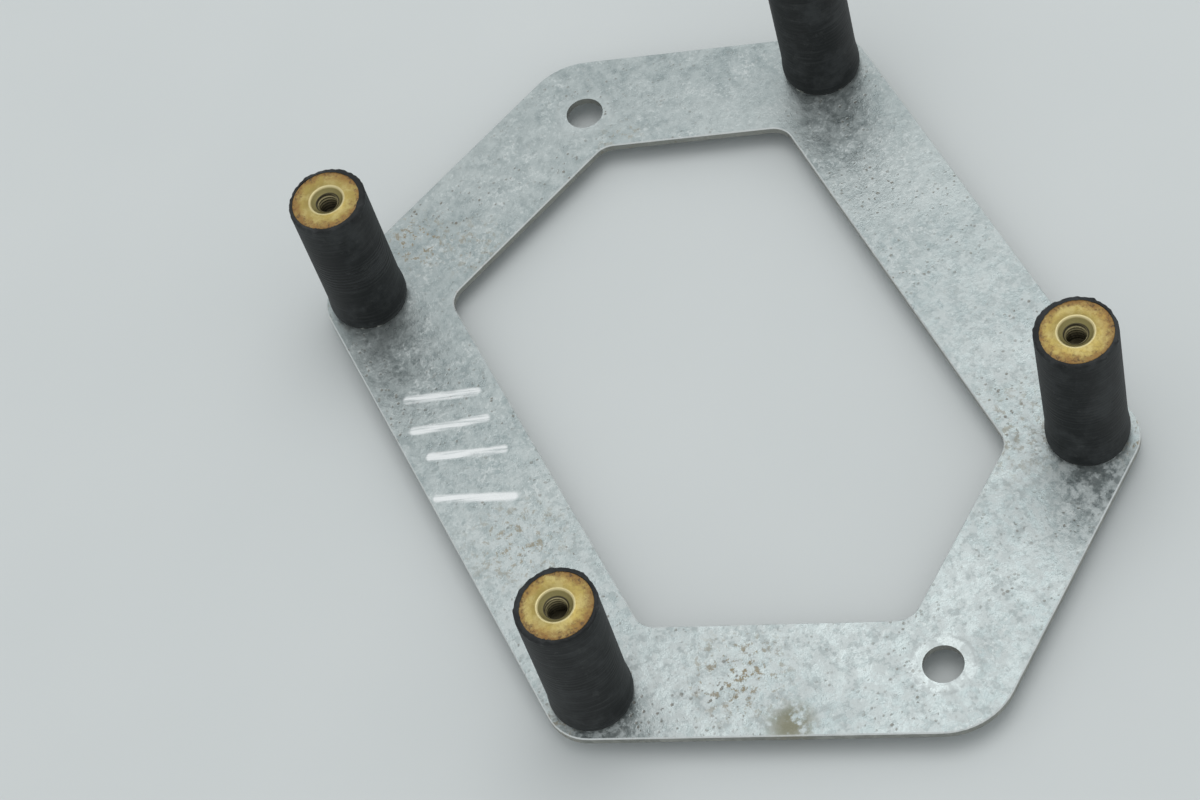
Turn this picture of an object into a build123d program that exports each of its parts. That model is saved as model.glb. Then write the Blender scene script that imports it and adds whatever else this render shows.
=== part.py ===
from build123d import *
import math
import os

# Motor mounting bracket: a flat six-sided ring plate that carries a motor on four rubber bobbins.
#
# Frame: millimetres, +Z up. X runs along the line of the two fixing holes, Y across the plate.
# The origin lies under the middle of the plate's length and width, in the plane of the bolt heads
# on which the bracket stands. "Front" is the -Y side, "left" is the -X side.

# ---------------------------------------------------------------- motor side: the four bobbins
bobbin_pitch_x = 138.0
bobbin_pitch_y = 136.0
bobbin_height = 43.5
rubber_radius = 10.0
rubber_lift = 0.5              # the lower disc stands this far out of the rubber

# ---------------------------------------------------------------- threaded end discs
disc_thickness = 1.5
upper_disc_radius = 9.0
lower_disc_radius = 9.8
boss_flats = 10.0              # the boss is a hexagon nut welded to the back of the disc
boss_length = 8.0              # from the disc's outer face
thread_radius = 3.0            # M6
thread_depth = 7.0
mouth_radius = 4.1             # countersink of the upper discs
mouth_angle = 90.0

# ---------------------------------------------------------------- plate
plate_thickness = 2.0
band_width = 30.0              # the ring's width, the same on all six sides
fixing_pitch = 198.0           # between the two fixing holes at the pointed ends
fixing_offset = 7.0            # the line of fixing holes lies behind the plate's centre line
fixing_hole_radius = 5.0
end_radius = 18.0              # rounding of the pointed ends, about the fixing holes
corner_radius = 12.0           # rounding of the other four corners
bobbin_offset_x = -7.0         # the bobbins' centre lies left of the middle of the fixing holes
back_corner_shift = 1.25       # the two back corners sit nearer the right end than their bobbins
window_corner_radius = 6.0
edge_break = 0.3               # the blanking die rolls the upper edges over

# ---------------------------------------------------------------- bolts and lock washers
bolt_hole_clearance = 0.3      # radial, bolt in plate
thread_clearance = 0.05        # radial, bolt in thread
thread_engagement = 5.3        # how far the bolt reaches into the lower disc
bolt_head_height = 4.0
bolt_head_flats = 10.0
washer_thickness = 0.7
washer_bore_clearance = 0.2    # radial, bolt in washer
washer_body_radius = 4.4
washer_outer_radius = 5.5
washer_teeth = 10
washer_tooth_width = 1.3

# ---------------------------------------------------------------- derived heights and places
washer_base = bolt_head_height
plate_base = washer_base + washer_thickness
plate_top = plate_base + plate_thickness
bobbin_top = plate_top + bobbin_height
bolt_radius = thread_radius - thread_clearance
bolt_length = washer_thickness + plate_thickness + thread_engagement
fixing_places = [(side * fixing_pitch / 2, fixing_offset) for side in (-1, 1)]
bobbin_places = {
    f"{row}_{end}": (bobbin_offset_x + sx * bobbin_pitch_x / 2, sy * bobbin_pitch_y / 2)
    for row, sy in (("front", -1), ("back", 1))
    for end, sx in (("left", -1), ("right", 1))
}
corner_places = [(x + (back_corner_shift if y > 0 else 0), y) for x, y in bobbin_places.values()]


def level(x, y, z, up=1):
    """The horizontal drawing plane through (x, y, z). It looks up, or down where up is -1."""
    return Plane(origin=(x, y, z), x_dir=(1, 0, 0), z_dir=(0, 0, up))


def hexagon(flats):
    """A hexagon by its width across flats, drawn in the sketch that is open."""
    RegularPolygon(radius=flats / 2, side_count=6, major_radius=False)


def save(piece, name):
    """Labels one finished piece and writes it to its own file."""
    piece.label = name
    export_step(piece, f"parts/{name}.step")


def inset_corners(outline, distance):
    """The corners that the straight sides of a convex outline make once each is moved inwards."""
    middle = outline.face().center()
    sides = []
    for edge in outline.edges().filter_by(GeomType.LINE):
        along = edge % 0.5
        outward = Vector(along.Y, -along.X)
        if outward.dot(edge.center() - middle) < 0:
            outward = -outward
        sides.append((outward, outward.dot(edge.center()) - distance))
    sides.sort(key=lambda side: math.atan2(side[0].Y, side[0].X))
    corners = []
    for (n1, d1), (n2, d2) in zip(sides, sides[1:] + sides[:1]):
        spread = n1.X * n2.Y - n1.Y * n2.X
        corners.append(((d1 * n2.Y - d2 * n1.Y) / spread, (n1.X * d2 - n2.X * d1) / spread))
    return corners


def make_plate():
    """The ring plate: the hull of six rounded corners, less a window one band width inside it."""
    with BuildSketch() as outline:
        with Locations(*fixing_places):
            Circle(end_radius)
        with Locations(*corner_places):
            Circle(corner_radius)
        make_hull()
    with BuildSketch() as window:
        Polygon(*inset_corners(outline, band_width), align=None)
        fillet(window.vertices(), window_corner_radius)
    with BuildPart() as plate:
        with BuildSketch(Plane.XY.offset(plate_base)):
            add(outline.face())
            add(window.face(), mode=Mode.SUBTRACT)
        extrude(amount=plate_thickness)
        # Only the two rims exist yet, so the edges of the upper face are the ones to break.
        chamfer(plate.faces().sort_by(Axis.Z)[-1].edges(), edge_break)
        with Locations(Plane.XY.offset(plate_top)):
            with Locations(*fixing_places):
                Hole(fixing_hole_radius, depth=plate_thickness)
            with Locations(*bobbin_places.values()):
                Hole(bolt_radius + bolt_hole_clearance, depth=plate_thickness)
    return plate.part


def make_insert(face, disc_radius, countersunk):
    """A steel end disc with a nut welded to its back. The plane face looks out of the bobbin."""
    with BuildPart() as insert:
        with BuildSketch(face):
            Circle(disc_radius)
        extrude(amount=-disc_thickness)
        with BuildSketch(face.offset(-disc_thickness)):
            hexagon(boss_flats)
        extrude(amount=disc_thickness - boss_length)
        with Locations(face):
            if countersunk:
                CounterSinkHole(thread_radius, mouth_radius, thread_depth, mouth_angle)
            else:
                Hole(thread_radius, thread_depth)
    return insert.part


def make_rubber(base, top):
    """The rubber of one bobbin: a cylinder moulded round both end discs and their bosses."""
    with BuildPart() as rubber:
        with BuildSketch(top):
            Circle(rubber_radius)
        extrude(amount=rubber_lift - bobbin_height)
        for face, disc_radius in ((base, lower_disc_radius), (top, upper_disc_radius)):
            with BuildSketch(face):
                Circle(disc_radius)
            extrude(amount=-disc_thickness, mode=Mode.SUBTRACT)
            with BuildSketch(face):
                hexagon(boss_flats)
            extrude(amount=-boss_length, mode=Mode.SUBTRACT)
    return rubber.part


def make_washer(x, y):
    """A lock washer with outside teeth, pressed flat under the bolt head."""
    tooth_length = washer_outer_radius - washer_body_radius / 2
    with BuildPart() as washer:
        with BuildSketch(level(x, y, washer_base)):
            Circle(washer_body_radius)
            with PolarLocations(washer_outer_radius - tooth_length / 2, washer_teeth):
                Rectangle(tooth_length, washer_tooth_width)
            Circle(bolt_radius + washer_bore_clearance, mode=Mode.SUBTRACT)
        extrude(amount=washer_thickness)
    return washer.part


def make_bolt(x, y):
    """A hexagon bolt, head down."""
    with BuildPart() as bolt:
        with BuildSketch(level(x, y, 0)):
            hexagon(bolt_head_flats)
        extrude(amount=bolt_head_height)
        with BuildSketch(level(x, y, bolt_head_height)):
            Circle(bolt_radius)
        extrude(amount=bolt_length)
    return bolt.part


os.makedirs("parts", exist_ok=True)
save(make_plate(), "bracket_plate")
for place, (x, y) in bobbin_places.items():
    top = level(x, y, bobbin_top)
    base = level(x, y, plate_top, up=-1)
    save(make_rubber(base, top), f"rubber_body_{place}")
    save(make_insert(top, upper_disc_radius, True), f"upper_insert_{place}")
    save(make_insert(base, lower_disc_radius, False), f"lower_insert_{place}")
    save(make_washer(x, y), f"lock_washer_{place}")
    save(make_bolt(x, y), f"bolt_{place}")
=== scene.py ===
# %% [markdown]
# # A motor mounting bracket, dressed for a portrait
# The bracket is a flat six-sided ring of galvanised sheet. Four rubber bobbins stand on it, each
# with a threaded, yellow passivated steel disc in its upper end. The exact solids come from the
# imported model. This lesson gives them their looks: mottled zinc, dusty rubber, stained discs.

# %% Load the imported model
import math
import bpy
import numpy as np
from mathutils import Matrix, Vector


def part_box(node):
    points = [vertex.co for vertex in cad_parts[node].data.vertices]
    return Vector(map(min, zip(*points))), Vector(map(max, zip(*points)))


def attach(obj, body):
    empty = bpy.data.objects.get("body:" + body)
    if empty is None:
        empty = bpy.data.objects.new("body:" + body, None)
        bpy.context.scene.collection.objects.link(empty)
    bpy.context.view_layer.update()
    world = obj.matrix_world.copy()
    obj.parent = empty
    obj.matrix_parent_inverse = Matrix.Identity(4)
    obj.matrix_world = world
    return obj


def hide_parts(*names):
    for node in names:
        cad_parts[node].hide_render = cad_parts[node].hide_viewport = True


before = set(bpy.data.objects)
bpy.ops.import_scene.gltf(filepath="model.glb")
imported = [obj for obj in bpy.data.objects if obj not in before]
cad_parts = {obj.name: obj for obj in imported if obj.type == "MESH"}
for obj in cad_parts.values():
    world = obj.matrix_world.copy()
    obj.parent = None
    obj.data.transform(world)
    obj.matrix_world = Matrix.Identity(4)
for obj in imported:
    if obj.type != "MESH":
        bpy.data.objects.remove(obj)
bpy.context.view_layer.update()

mm = 0.001

# %% [markdown]
# All places come from the solids. A bobbin's axis is the middle of its rubber body's box, and the
# same box gives the heights of the two ends; the discs give their radii and the boss length. Lengths
# are metres, so a size in millimetres is written as a number times `mm`.

# %% Find the bobbins and the plate
places = ("front_left", "front_right", "back_left", "back_right")
plate_low, plate_high = (Vector(corner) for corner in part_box("bracket_plate"))
plate_top = plate_high.z
axes = {}
for place in places:
    low, high = (Vector(corner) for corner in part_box(f"rubber_body_{place}"))
    axes[place] = ((low + high) / 2).to_2d()
rubber_low, rubber_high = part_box("rubber_body_front_left")
rubber_radius = (rubber_high[0] - rubber_low[0]) / 2
bobbin_top = rubber_high[2]
rubber_base = rubber_low[2]
disc_low, disc_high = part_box("upper_insert_front_left")
disc_radius = (disc_high[0] - disc_low[0]) / 2
boss_length = disc_high[2] - disc_low[2]
lower_low, lower_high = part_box("lower_insert_front_left")
lower_disc_radius = (lower_high[0] - lower_low[0]) / 2
disc_thickness = 1.5 * mm
print("plate top", round(plate_top / mm, 2), "bobbin top", round(bobbin_top / mm, 2))

# %% [markdown]
# ## The camera
# The view is a long lens from the right end, about fifty-five degrees above the table, with the
# camera turned a little about its own axis. It is easier to read as a point that it looks at, a
# distance, two angles and a roll than as a matrix.

# %% Set up the camera
aim = Vector((-12.9 * mm, -29.9 * mm, plate_top))
distance = 783.8 * mm
azimuth, elevation, roll = (math.radians(angle) for angle in (-9.43, 54.82, -19.75))

back = Vector((math.cos(elevation) * math.cos(azimuth), math.cos(elevation) * math.sin(azimuth),
               math.sin(elevation)))
level_right = Vector((0, 0, 1)).cross(back).normalized()
level_up = back.cross(level_right)
right = level_right * math.cos(roll) + level_up * math.sin(roll)
up = level_up * math.cos(roll) - level_right * math.sin(roll)

lens = bpy.data.cameras.new("portrait_lens")
lens.sensor_width = 36
lens.lens = 92.8
lens.clip_start = 0.01
camera = bpy.data.objects.new("portrait_camera", lens)
bpy.context.scene.collection.objects.link(camera)
turn = Matrix((right, up, back)).transposed().to_4x4()
camera.matrix_world = Matrix.Translation(aim + back * distance) @ turn
bpy.context.scene.camera = camera
print("camera at", [round(v, 3) for v in camera.matrix_world.translation])

# %% [markdown]
# ## A small language for materials
# A material is a graph of nodes. Sums on values read best as sums, so `Wire` wraps an output
# socket and turns `+ - * /` into Math nodes. Everything else comes from one method, `node`: the
# kind of node, its settings, then what goes into its sockets.

# %% Wrap a socket so that Python sums become Math nodes
class Wire:
    """A number or colour that varies over the surface: one output socket of a node."""

    def __init__(self, recipe, socket):
        self.recipe, self.socket = recipe, socket

    def math(self, operation, *others):
        return self.recipe.node("ShaderNodeMath", {"operation": operation}, dict(enumerate(others)))

    def __add__(self, other):
        return self.math("ADD", self, other)

    def __sub__(self, other):
        return self.math("SUBTRACT", self, other)

    def __rsub__(self, other):
        return self.math("SUBTRACT", other, self)

    def __mul__(self, other):
        return self.math("MULTIPLY", self, other)

    def __truediv__(self, other):
        return self.math("DIVIDE", self, other)

    def __pow__(self, other):
        return self.math("POWER", self, other)

    __radd__, __rmul__ = __add__, __mul__

    def clamped(self):
        return self.recipe.node("ShaderNodeClamp", {}, {"Value": self})

    def least(self, other):
        return self.math("MINIMUM", self, other)

    def most(self, other):
        return self.math("MAXIMUM", self, other)

    def rise(self, start, end):
        """0 below start, 1 above end and a smooth slope between. Falls where start is above end."""
        return self.recipe.node("ShaderNodeMapRange", {"interpolation_type": "SMOOTHSTEP"},
                                {"Value": self, "From Min": start, "From Max": end})


# %% Build a material's node graph
class Recipe:
    """One material: its principled shader and every node that feeds it."""

    def __init__(self, name):
        self.material = bpy.data.materials.new(name)
        self.material.use_nodes = True
        self.tree = self.material.node_tree
        self.shader = self.tree.nodes["Principled BSDF"]
        self.place = self.node("ShaderNodeTexCoord", {}, {}, "Object")

    def node(self, kind, settings, sockets, output=0):
        """A node of that kind. Settings are set first, then its sockets get values or wires."""
        made = self.tree.nodes.new(kind)
        for name, setting in settings.items():
            setattr(made, name, setting)
        for name, value in sockets.items():
            if isinstance(value, Wire):
                self.tree.links.new(value.socket, made.inputs[name])
            else:
                made.inputs[name].default_value = value
        return Wire(self, made.outputs[output])

    def noise(self, size, detail=3.0, rough=0.5, place=None, shift=(0, 0, 0)):
        """Cloudy noise from 0 to 1, with features about `size` metres wide."""
        moved = self.node("ShaderNodeVectorMath", {"operation": "ADD"},
                          {0: place or self.place, 1: shift})
        return self.node("ShaderNodeTexNoise", {}, {"Vector": moved, "Scale": 1 / size,
                                                    "Detail": detail, "Roughness": rough})

    def cells(self, size):
        """Distance to the nearest of scattered points, as a share of their spacing `size`."""
        return self.node("ShaderNodeTexVoronoi", {}, {"Vector": self.place, "Scale": 1 / size},
                         "Distance")

    def xyz(self, vector):
        """The three numbers of a vector."""
        return [self.node("ShaderNodeSeparateXYZ", {}, {"Vector": vector}, part) for part in "XYZ"]

    def blend(self, mask, first, second):
        """The first colour where the mask is 0 and the second where it is 1."""
        colours = {6: first, 7: second}
        sockets = {key: c if isinstance(c, Wire) else (*c, 1) for key, c in colours.items()}
        return self.node("ShaderNodeMix", {"data_type": "RGBA"}, {0: mask, **sockets}, 2)

    def finish(self, colour, roughness, metallic=None, height=None, depth=0.1 * mm, **fixed):
        """Joins the wires to the shader. `fixed` values are the same all over the surface."""
        sockets = {"Base Color": colour, "Roughness": roughness}
        if metallic is not None:
            sockets["Metallic"] = metallic
        if height is not None:
            bump = {"Height": height, "Distance": depth, "Strength": 1.0}
            sockets["Normal"] = self.node("ShaderNodeBump", {}, bump)
        for name, value in {**sockets, **fixed}.items():
            if isinstance(value, Wire):
                self.tree.links.new(value.socket, self.shader.inputs[name])
            else:
                self.shader.inputs[name].default_value = value
        print(self.material.name, len(self.tree.nodes), "nodes")
        return self.material


def dress(name, material):
    """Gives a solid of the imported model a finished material."""
    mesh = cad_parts[name].data
    mesh.materials.clear()
    mesh.materials.append(material)


# %% [markdown]
# ## Galvanised sheet
# Old hot-dip zinc isn't one grey. It has cloudy bluish and pale areas, chalky white oxide in
# small flecks, darker veins, clusters of tiny dark pits, and brown stains where something wet
# stood. A pit is a dot about one of many scattered points, with an uneven outline. Each is a
# mask from 0 to 1, and the colour is painted in layers, the widest first. The sheet is
# half-metallic: chalky enough to look pale, bright enough to mirror the dark bobbins softly.

# %% Zinc: clouds, flecks and pits
zinc = Recipe("weathered_zinc")
x, y, z = zinc.xyz(zinc.place)
clouds = zinc.noise(26 * mm, 5, 0.6).rise(0.34, 0.68)
mottle = zinc.noise(3.6 * mm, 5, 0.72).rise(0.36, 0.64)
flecks = zinc.noise(1.3 * mm, 4, 0.75, shift=(0.3, 0, 0)).rise(0.47, 0.62)
chalk = zinc.noise(9 * mm, 6, 0.72, shift=(0, 0.7, 0)).rise(0.44, 0.66)
pit_fields = zinc.noise(17 * mm, 3, 0.6, shift=(0.9, 0.2, 0)).rise(0.42, 0.68)
pit_outline = (zinc.noise(0.8 * mm, 2, 0.6) - 0.5) * 0.4
pit_choice = zinc.noise(2.4 * mm, 3, 0.6, shift=(0, 0.4, 0)).rise(0.47, 0.58)
pits = (zinc.cells(1.5 * mm) + pit_outline).rise(0.34, 0.18) * pit_choice
pitted = pits * (pit_fields * 0.85 + 0.15)
bloom = zinc.noise(3.4 * mm, 6, 0.72, shift=(0.6, 0.3, 0)).rise(0.46, 0.56)
bloom = bloom * (x.rise(-60 * mm, 60 * mm) * 0.75 + 0.25)
veins = zinc.noise(2.6 * mm, 6, 0.72, shift=(0.2, 0.5, 0)).rise(0.50, 0.42)
veins = veins * (x.rise(-70 * mm, 50 * mm) * 0.7 + 0.3)

# %% [markdown]
# Stains sit at known places, so each is a soft round field about a point, broken up by noise.
# The frame of the object is metres from its middle, so the places are easy to write down. At
# each fixing hole a washer has pressed the mottling flat and left a darker line at its edge.

# %% Zinc: stains, washer marks and rims
def near(px, py, reach):
    """1 at a point of the sheet, in millimetres, falling smoothly to 0 at `reach`."""
    away = ((x - px * mm) ** 2 + (y - py * mm) ** 2) ** 0.5
    return away.rise(reach * mm, 0.15 * reach * mm)


broken = zinc.noise(1.8 * mm, 6, 0.7, shift=(0.1, 0.9, 0)).rise(0.53, 0.60)
brown_fields = near(-86, -50, 13)
for px, py, reach, strength in ((76, -36, 17, 1.0), (14, -66, 18, 0.7), (-76, -38, 13, 0.5),
                                (52, 53, 20, 0.45), (-86, 12, 9, 0.5), (69, 78, 12, 0.9),
                                (-78, -78, 10, 0.6), (66, -79, 9, 0.7)):
    brown_fields = brown_fields.most(near(px, py, reach) * strength)
brown = brown_fields * broken
olive = near(94, -31, 8) * zinc.noise(2.6 * mm, 4, 0.65).rise(0.36, 0.52)

pressed, ring_line = 0.0, 0.0
for (px, py), strength in (((99, 7), 1.0), ((-99, 7), 0.4)):
    away = ((x - px * mm) ** 2 + (y - py * mm) ** 2) ** 0.5
    pressed = away.rise(8.8 * mm, 7.6 * mm) * strength + pressed
    ring_line = away.rise(7.0 * mm, 7.6 * mm) * away.rise(8.5 * mm, 8.0 * mm) * strength + ring_line

facing = zinc.xyz(zinc.node("ShaderNodeNewGeometry", {}, {}, "Normal"))[2]
# The chamfered top rims are painted pale. This is partly a worn edge and partly a painted highlight
# where the rounded edge catches the light.
rim = facing.rise(0.4, 0.6) * facing.rise(0.95, 0.85)
cut_side = facing.rise(0.4, 0.2) * facing.rise(-0.4, -0.2)

# %% [markdown]
# The place where someone wrote on the sheet with a paint marker gets plain short strokes
# instead. A stroke is every point near a line from a to b: the nearest point of the line is found
# with a clamped share of its length, and the distance to it is compared with half the stroke's
# width. Noise moves the point a little first, so that the strokes look drawn by hand.

# %% Zinc: a fitter's strokes in white paint
wobble = zinc.noise(9 * mm, 2, 0.5, shift=(0.5, 0.5, 0)) - 0.5
sx, sy = x + wobble * (2.2 * mm), y + wobble * (3.0 * mm)
strokes = None
stroke_ends = ((-41, -73, -33, -56), (-31, -75, -24, -57),
               (-21, -74, -13, -57), (-9, -78, 1, -61))
for ax, ay, bx, by in stroke_ends:
    dx, dy = (bx - ax) * mm, (by - ay) * mm
    share = (((sx - ax * mm) * dx + (sy - ay * mm) * dy) / (dx * dx + dy * dy)).clamped()
    gap = ((sx - ax * mm - share * dx) ** 2 + (sy - ay * mm - share * dy) ** 2) ** 0.5
    stroke = gap.rise(1.7 * mm, 0.7 * mm)
    strokes = stroke if strokes is None else strokes.most(stroke)
brush_turn = math.radians(64)
along_strokes = zinc.node("ShaderNodeMapping", {"vector_type": "TEXTURE"},
                          {"Vector": zinc.place, "Rotation": (0, 0, brush_turn), "Scale": (14, 1, 1)})
bristles = zinc.noise(1.0 * mm, 2, 0.6, place=along_strokes).rise(0.34, 0.60)
paint = strokes * (bristles * 0.62 + 0.22) * facing.rise(0.9, 0.99)

# %% Zinc: lay the colours over one another
colour = zinc.blend(clouds, (0.275, 0.325, 0.328), (0.385, 0.430, 0.428))
colour = zinc.blend(mottle * 0.5, colour, (0.46, 0.505, 0.50))
colour = zinc.blend(chalk * flecks * 0.6, colour, (0.64, 0.68, 0.67))
colour = zinc.blend(bloom * 0.6, colour, (0.56, 0.605, 0.60))
colour = zinc.blend(veins * 0.50, colour, (0.265, 0.31, 0.31))
colour = zinc.blend(pressed * 0.5, colour, (0.53, 0.575, 0.57))
colour = zinc.blend(ring_line * 0.45, colour, (0.34, 0.375, 0.375))
colour = zinc.blend(pitted * 0.85, colour, (0.165, 0.155, 0.13))
colour = zinc.blend(brown * 0.85, colour, (0.25, 0.195, 0.105))
colour = zinc.blend(olive * 0.85, colour, (0.215, 0.205, 0.125))
colour = zinc.blend(rim * 0.55, colour, (0.78, 0.80, 0.79))
colour = zinc.blend(cut_side * 0.6, colour, (0.22, 0.20, 0.16))
colour = zinc.blend(paint, colour, (0.86, 0.88, 0.88))
rough = 0.27 + mottle * 0.08 + chalk * 0.10 + bloom * 0.16 + brown * 0.2 + olive * 0.3 + paint * 0.2
metal = 0.80 - chalk * flecks * 0.35 - bloom * 0.3 - brown * 0.5 - olive * 0.5 - pitted * 0.3
metal = metal * (1 - paint)
relief = mottle * 0.5 + flecks * 0.25 - pitted * 0.9 - brown * 0.3 + paint * 0.4
weathered_zinc = zinc.finish(colour, rough, metal.clamped(), relief, 0.05 * mm)
dress("bracket_plate", weathered_zinc)

# %% [markdown]
# ## Surfaces from numbers
# Every new piece here is turned about an upright axis, so one function makes them all. A grid
# holds one row for each point of the profile and one column for each angle. Rows at the axis are
# poles, closed with a fan of triangles.

# %% Make a mesh from a grid of points turned about an axis
def turned(name, radius, height, centre, material, node):
    """A closed turned piece. radius and height are arrays of profile points by angles, in metres.

    Point (i, j) lies at centre + (radius cos a, radius sin a), height, with a = 2 pi j / columns.
    The first and last rows are shrunk to one pole each. The profile runs up the outside.
    """
    rows, columns = radius.shape
    angle = np.linspace(0, 2 * np.pi, columns, endpoint=False)
    cx, cy = centre
    points = np.stack([cx + radius * np.cos(angle), cy + radius * np.sin(angle), height], -1)
    inner = points[1:-1].reshape(-1, 3)
    poles = np.array([[cx, cy, height[0].mean()], [cx, cy, height[-1].mean()]])
    mesh = bpy.data.meshes.new(name)
    i, j = np.meshgrid(np.arange(rows - 3), np.arange(columns), indexing="ij")
    across = (j + 1) % columns
    quads = np.stack([i * columns + j, i * columns + across, (i + 1) * columns + across,
                      (i + 1) * columns + j], -1).reshape(-1, 4)
    first, last = len(inner), len(inner) + 1
    ring = np.arange(columns)
    after = (ring + 1) % columns
    top = (rows - 3) * columns
    fans = [(first, int(b), int(a)) for a, b in zip(ring, after)]
    fans += [(last, int(top + a), int(top + b)) for a, b in zip(ring, after)]
    mesh.from_pydata(np.vstack([inner, poles]).tolist(), [], quads.tolist() + fans)
    mesh.polygons.foreach_set("use_smooth", [True] * len(mesh.polygons))
    mesh.set_sharp_from_angle(angle=math.radians(40))
    mesh.materials.append(material)
    piece = bpy.data.objects.new(name, mesh)
    bpy.context.scene.collection.objects.link(piece)
    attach(piece, "root")
    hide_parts(node)
    print(name, len(mesh.polygons), "faces")
    return piece


def ripple(angle, seed, waves, size):
    """A closed uneven line round the axis: a sum of sines, with fixed phases from the seed."""
    random = np.random.default_rng(seed)
    phases = random.uniform(0, 2 * np.pi, len(waves))
    heights = random.uniform(0.5, 1.0, len(waves))
    total = sum(h * np.sin(n * angle + p) for n, p, h in zip(waves, phases, heights))
    return size * total / len(waves) ** 0.5


# %% [markdown]
# ## Dusty rubber
# Moulded rubber that has lived near a motor is charcoal, not black. Dust greys it in soft
# patches, and the mould left fine lines round it. The lines are noise whose
# place is squeezed along X and Y, so that it changes quickly upwards and slowly round the bobbin.
# One bobbin has a band of stronger rings half way up, a sine wave of height.

# %% Rubber: dust, mould lines and scuffs
rubber = Recipe("dusty_rubber")
squeezed = rubber.node("ShaderNodeVectorMath", {"operation": "MULTIPLY"},
                       {0: rubber.place, 1: (0.06, 0.06, 1.0)})
lines = rubber.noise(0.9 * mm, 2, 0.5, place=squeezed)
dust = rubber.noise(9 * mm, 5, 0.68).rise(0.42, 0.68)
scuffs = rubber.noise(3.0 * mm, 4, 0.7, shift=(0.4, 0.1, 0)).rise(0.58, 0.70)
grain = rubber.noise(0.5 * mm, 2, 0.6)
rx, ry, rz = rubber.xyz(rubber.place)
one_bobbin = rx.rise(0, -50 * mm) * ry.rise(0, -50 * mm) * 0.85 + 0.15
band = rz.rise(22 * mm, 26 * mm) * rz.rise(36 * mm, 31 * mm) * one_bobbin
ring_spacing = 1.25 * mm
ring_phase = rz * (2 * math.pi / ring_spacing) + lines * 2.0
rings = (ring_phase.math("SINE", ring_phase) * 0.5 + 0.5) * band
rubber_colour = rubber.blend(dust * 0.85, (0.0062, 0.0078, 0.0082), (0.036, 0.040, 0.041))
rubber_colour = rubber.blend(scuffs * 0.35, rubber_colour, (0.065, 0.07, 0.07))
ridges = lines.rise(0.55, 0.75) * 0.35 + rings * 0.18
rubber_colour = rubber.blend(ridges, rubber_colour, (0.045, 0.049, 0.05))
rubber_relief = lines * 0.9 + grain * 0.3 + scuffs * 0.3 + rings * 1.3
dusty_rubber = rubber.finish(rubber_colour, 0.58 + dust * 0.16 + scuffs * 0.1, None, rubber_relief,
                             0.14 * mm, **{"Specular IOR Level": 0.30})

# %% [markdown]
# A bobbin's side is straight, then swells over the foot and tucks under to the lower disc. The
# upper rim is where the mould closed: thin ragged flash stands up round the disc, wider on one
# side because the disc sits a little off centre.

# %% Rubber: turn the four bodies
heavy_side = {"front_left": 93, "front_right": 229, "back_left": 286, "back_right": 214}
rubber_columns = 220
angle = np.linspace(0, 2 * np.pi, rubber_columns, endpoint=False)
top_mm, base_mm, disc_mm = bobbin_top / mm, rubber_base / mm, disc_radius / mm
side_mm, lower_mm = rubber_radius / mm, lower_disc_radius / mm
thick_mm, boss_mm = disc_thickness / mm, boss_length / mm
lower_pocket_mm, upper_pocket_mm = 5.9, 5.1


def rubber_body(place, seed):
    """Profile from the lower pocket, out under the foot, up the side and into the upper pocket.

    Swelling of the side: a bell 0.34 mm high, 2.4 mm above the foot, less a quick tuck at the lip.
    """
    plate_mm = plate_top / mm
    side_z = np.concatenate([np.linspace(base_mm + 0.1, base_mm + 9, 28),
                             np.linspace(base_mm + 9.5, top_mm - 0.7, 40)])
    above = side_z - base_mm
    swell = 0.34 * np.exp(-((above - 2.4) / 3.0) ** 2) - 0.30 * np.exp(-above / 0.45)
    pocket_roof, pocket_floor = plate_mm + boss_mm + 0.05, top_mm - boss_mm - 0.05
    radii = [0, lower_pocket_mm, lower_pocket_mm, lower_mm + 0.02, lower_mm + 0.02,
             *(side_mm + swell), side_mm - 0.05, side_mm - 0.35, disc_mm + 0.35,
             disc_mm + 0.02, disc_mm + 0.02, upper_pocket_mm, upper_pocket_mm, 0]
    heights = [pocket_roof, pocket_roof, plate_mm + thick_mm, plate_mm + thick_mm, base_mm,
               *side_z, top_mm - 0.3, top_mm, top_mm + 0.02,
               top_mm - 0.05, top_mm - thick_mm, top_mm - thick_mm, pocket_floor, pocket_floor]
    radius = np.repeat(np.array(radii)[:, None], len(angle), 1)
    height = np.repeat(np.array(heights)[:, None], len(angle), 1)
    flash = ripple(angle, seed, (1, 2, 3, 5, 8, 13, 21, 34), 0.17)
    for knob in np.random.default_rng(seed).uniform(-1.0, 2.2, 5):
        flash += 0.26 * np.exp(-(((angle - knob + np.pi) % (2 * np.pi) - np.pi) / 0.055) ** 2)
    lift = np.maximum(ripple(angle, seed + 50, (2, 3, 7, 12, 19, 31), 0.22), 0)
    rim = len(radii) - 8
    radius[rim - 1] += 0.5 * flash
    radius[rim] += 1.1 * flash
    heavy = np.cos(angle - math.radians(heavy_side[place]))
    radius[rim + 1] += 0.9 * flash - 0.1 * heavy
    radius[rim + 2] -= 0.36 + 0.52 * heavy + 0.8 * np.abs(flash)
    height[rim] += lift * 0.6
    height[rim + 1] += lift
    height[rim + 2] += 0.09
    radius[5:rim - 1] += ripple(angle, seed + 9, (2, 3, 5), 0.035)
    turned(f"bobbin_rubber_{place}", radius * mm, height * mm, axes[place], dusty_rubber,
           f"rubber_body_{place}")


for seed, place in enumerate(places):
    rubber_body(place, seed + 3)
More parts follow.
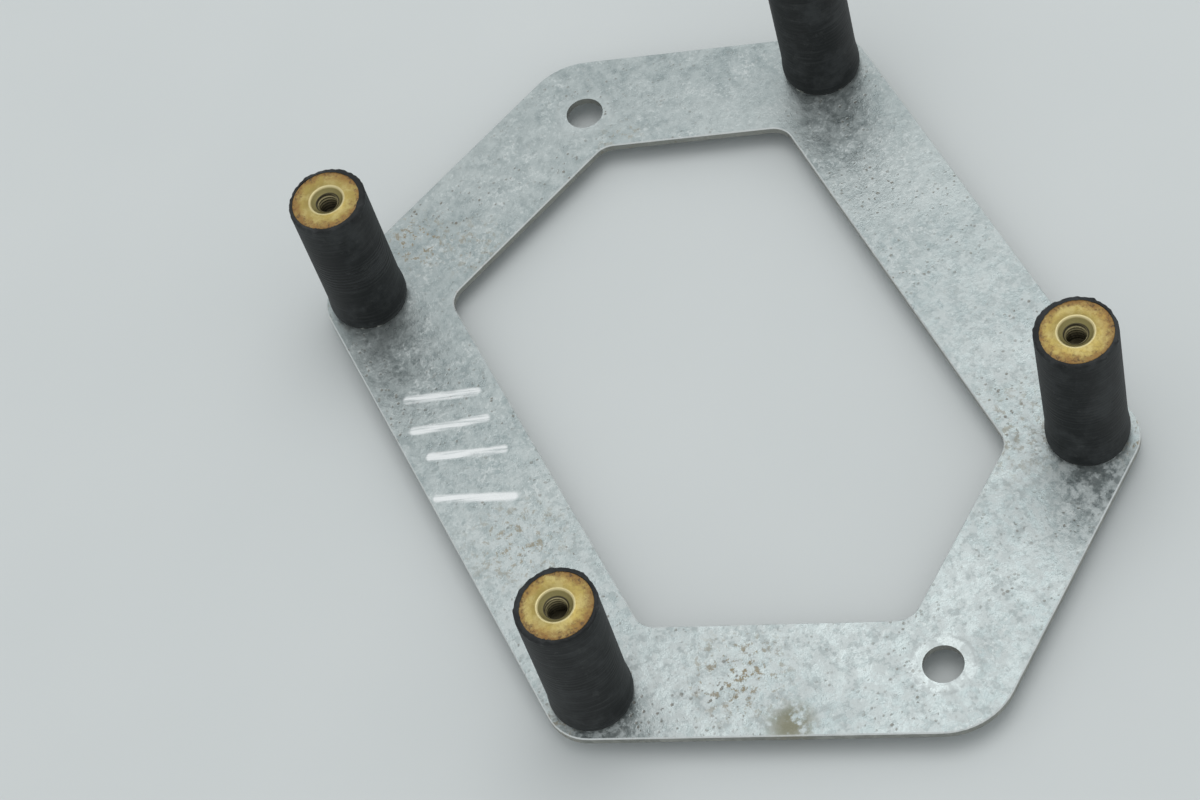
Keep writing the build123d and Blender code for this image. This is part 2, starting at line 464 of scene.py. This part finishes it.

# %% [markdown]
# ## Yellow passivated discs
# Zinc plate dipped in chromate is straw yellow with a faint green cast. Here it is old: orange
# and brown have crept in from the rim. The pale ring round the mouth is a painted highlight on its
# rounded lip, and the countersink is painted darker as shade falling into the hole. The bore is
# painted near black as its shade, with pale olive thread crests as painted highlight.
# The masks follow the distance from each disc's own axis, found with the nearest of the four.

# %% Discs: stained rim, painted highlight at the mouth, painted shade in the hole
passivated = Recipe("passivated_disc")
x, y, z = passivated.xyz(passivated.place)
from_axis = None
for place in places:
    away = ((x - axes[place].x) ** 2 + (y - axes[place].y) ** 2) ** 0.5
    from_axis = away if from_axis is None else from_axis.least(away)
patches = passivated.noise(4.5 * mm, 5, 0.7).rise(0.40, 0.62)
speckle = passivated.noise(0.9 * mm, 4, 0.7, shift=(0.2, 0, 0)).rise(0.50, 0.64)
brush = passivated.noise(2.4 * mm, 4, 0.75, shift=(0, 0.6, 0))
edge = (from_axis + (brush - 0.5) * (7.0 * mm)).rise(6.4 * mm, 8.8 * mm)
# Painted highlight: a pale ring on the rounded lip of the mouth.
mouth = from_axis.rise(4.9 * mm, 4.5 * mm) * from_axis.rise(4.0 * mm, 4.25 * mm)
# Painted shade: the countersink gets darker into the hole, and the threaded bore is near black.
funnel = from_axis.rise(4.25 * mm, 3.9 * mm)
bore = from_axis.rise(3.25 * mm, 2.95 * mm)
disc_colour = passivated.blend(patches, (0.37, 0.285, 0.085), (0.48, 0.395, 0.155))
disc_colour = passivated.blend(speckle * 0.45, disc_colour, (0.36, 0.25, 0.07))
amber = passivated.noise(6.5 * mm, 4, 0.65, shift=(0.7, 0, 0)).rise(0.46, 0.60)
amber = amber * from_axis.rise(4.8 * mm, 7.6 * mm)
disc_colour = passivated.blend(amber * 0.6, disc_colour, (0.30, 0.175, 0.05))
disc_colour = passivated.blend(edge * 0.75, disc_colour, (0.25, 0.12, 0.03))
disc_colour = passivated.blend(edge * speckle * 0.8, disc_colour, (0.055, 0.035, 0.018))
disc_colour = passivated.blend(mouth * 0.55, disc_colour, (0.74, 0.68, 0.42))
disc_colour = passivated.blend(funnel * 0.85, disc_colour, (0.215, 0.19, 0.08))
# Painted highlight on the thread crests, dimmed by painted shade that deepens down the hole.
depth_shade = z.rise(bobbin_top - 1.6 * mm, bobbin_top - 5.0 * mm) * 0.85
crest_highlight = from_axis.rise(2.85 * mm, 2.6 * mm) * (1 - depth_shade)
disc_colour = passivated.blend(bore * 0.95, disc_colour, (0.035, 0.03, 0.018))
disc_colour = passivated.blend(crest_highlight, disc_colour, (0.40, 0.35, 0.19))
disc_rough = 0.40 + patches * 0.12 + edge * 0.22
disc_metal = 0.78 - edge * 0.45 - speckle * 0.2
disc_relief = patches * 0.4 + brush * 0.4 - speckle * 0.3
passivated_disc = passivated.finish(disc_colour, disc_rough, disc_metal, disc_relief, 0.06 * mm)

# %% [markdown]
# The thread is a real helix. In the bore's rows, the radius dips inwards by a triangle wave of
# height over pitch, less the angle as a share of a turn, so that one turn climbs one pitch.
# It fades in below the countersink, as a tap leaves it.

# %% Discs: turn the four inserts with their threads
pitch, thread_major, thread_minor = 1.0, 3.0, 2.5
thread_depth, disc_columns = 6.9, 96


def upper_disc(place, turn):
    """Profile up from the back of the boss, over the face, in at the mouth and down the thread."""
    outside = [(0, -boss_mm), (5.0, -boss_mm), (5.0, -thick_mm), (disc_mm - 0.05, -thick_mm),
               (disc_mm - 0.01, -0.12), (disc_mm - 0.12, 0), (8.0, 0.0), (6.5, 0), (4.95, 0),
               (4.75, 0.08), (4.5, 0.1), (4.3, 0.02), (4.1, -0.25), (3.75, -0.55), (3.35, -0.85),
               (3.08, -1.05)]
    bore_z = np.linspace(-1.1, -thread_depth, 104)
    bottom = -thread_depth - 0.05
    depths = np.concatenate([[p[1] for p in outside], bore_z, [bottom, bottom]])
    radii = np.concatenate([[p[0] for p in outside], np.full(len(bore_z), thread_major), [2.4, 0]])
    radius = np.repeat(radii[:, None], disc_columns, 1)
    height = np.repeat(depths[:, None], disc_columns, 1)
    turn_share = np.arange(disc_columns) / disc_columns
    phase = (bore_z[:, None] / pitch - turn_share[None, :] + turn) % 1
    tooth = 1 - np.abs(2 * phase - 1)
    fade = np.clip((-0.95 - bore_z) / 0.4, 0, 1)[:, None]
    bore_rows = slice(len(outside), len(outside) + len(bore_z))
    radius[bore_rows] -= (thread_major - thread_minor) * tooth * fade
    turned(f"threaded_disc_{place}", radius * mm, (height + top_mm - 0.04) * mm, axes[place],
           passivated_disc, f"upper_insert_{place}")


for index, place in enumerate(places):
    upper_disc(place, 0.31 * index)

# %% [markdown]
# ## Fasteners under the plate
# The lower discs show as a thin line at each bobbin's foot. It is painted dark as grime and as the
# shade of the gap under the foot, with a few painted glints.
# The washers and bolts show only from low down, and get bright plating with haze and spots. All
# these solids are right as they are.

# %% Bright fasteners, and lower discs with painted shade and glints
plating = Recipe("bright_plating")
haze = plating.noise(3 * mm, 4, 0.6)
spots = plating.noise(0.8 * mm, 3, 0.7, shift=(0.3, 0.3, 0)).rise(0.60, 0.70)
plating_colour = plating.blend(haze.rise(0.35, 0.65), (0.50, 0.52, 0.52), (0.68, 0.69, 0.67))
plating_colour = plating.blend(spots * 0.5, plating_colour, (0.22, 0.16, 0.10))
bright_plating = plating.finish(plating_colour, 0.32 + haze * 0.12 + spots * 0.2, 0.9 - spots * 0.4,
                                haze * 0.4 - spots * 0.4, 0.03 * mm)
dull = Recipe("grime_and_shade_edge")
# Near black for grime and for painted shade under the foot, with patches of painted glints.
glints = dull.noise(5 * mm, 3, 0.6, shift=(0.2, 0.4, 0)).rise(0.58, 0.66)
grime_shade_and_glint_colour = dull.blend(glints, (0.022, 0.024, 0.023), (0.42, 0.42, 0.38))
grime_and_shade_edge = dull.finish(grime_shade_and_glint_colour, 0.55 - glints * 0.2, glints * 0.8)
for place in places:
    dress(f"lower_insert_{place}", grime_and_shade_edge)
    dress(f"bolt_{place}", bright_plating)
    dress(f"lock_washer_{place}", bright_plating)

# %% [markdown]
# ## The table and the light
# A pale table takes the soft shadow that tells how far the sheet stands off it. The light is a
# broad lamp above the far left end and an even pale world, so nothing has a hard edge.

# %% Lay the table
table = Recipe("pale_table")
tone = table.noise(60 * mm, 4, 0.5)
table_colour = table.blend(tone, (0.565, 0.60, 0.60), (0.60, 0.63, 0.628))
pale_table = table.finish(table_colour, 0.62 + tone * 0.05)
half = 3.0
floor_mesh = bpy.data.meshes.new("table_top")
floor_corners = [(-half, -half, 0), (half, -half, 0), (half, half, 0), (-half, half, 0)]
floor_mesh.from_pydata(floor_corners, [], [(0, 1, 2, 3)])
floor_mesh.materials.append(pale_table)
floor = bpy.data.objects.new("table_top", floor_mesh)
bpy.context.scene.collection.objects.link(floor)

# %% Light it softly
world = bpy.data.worlds.new("even_room")
world.use_nodes = True
sky = world.node_tree.nodes["Background"]
sky.inputs["Color"].default_value = (0.97, 0.99, 1.0, 1)
sky.inputs["Strength"].default_value = 0.80
bpy.context.scene.world = world

lamp_data = bpy.data.lights.new("window_light", "AREA")
lamp_data.shape = "DISK"
lamp_data.size = 1.1
lamp_data.energy = 5.5
lamp = bpy.data.objects.new("window_light", lamp_data)
bpy.context.scene.collection.objects.link(lamp)
lamp.location = (-0.30, 0.32, 1.45)
lamp.rotation_euler = (Vector((0, 0, 0)) - lamp.location).to_track_quat("-Z", "Y").to_euler()

bpy.context.scene.view_settings.view_transform = "Standard"
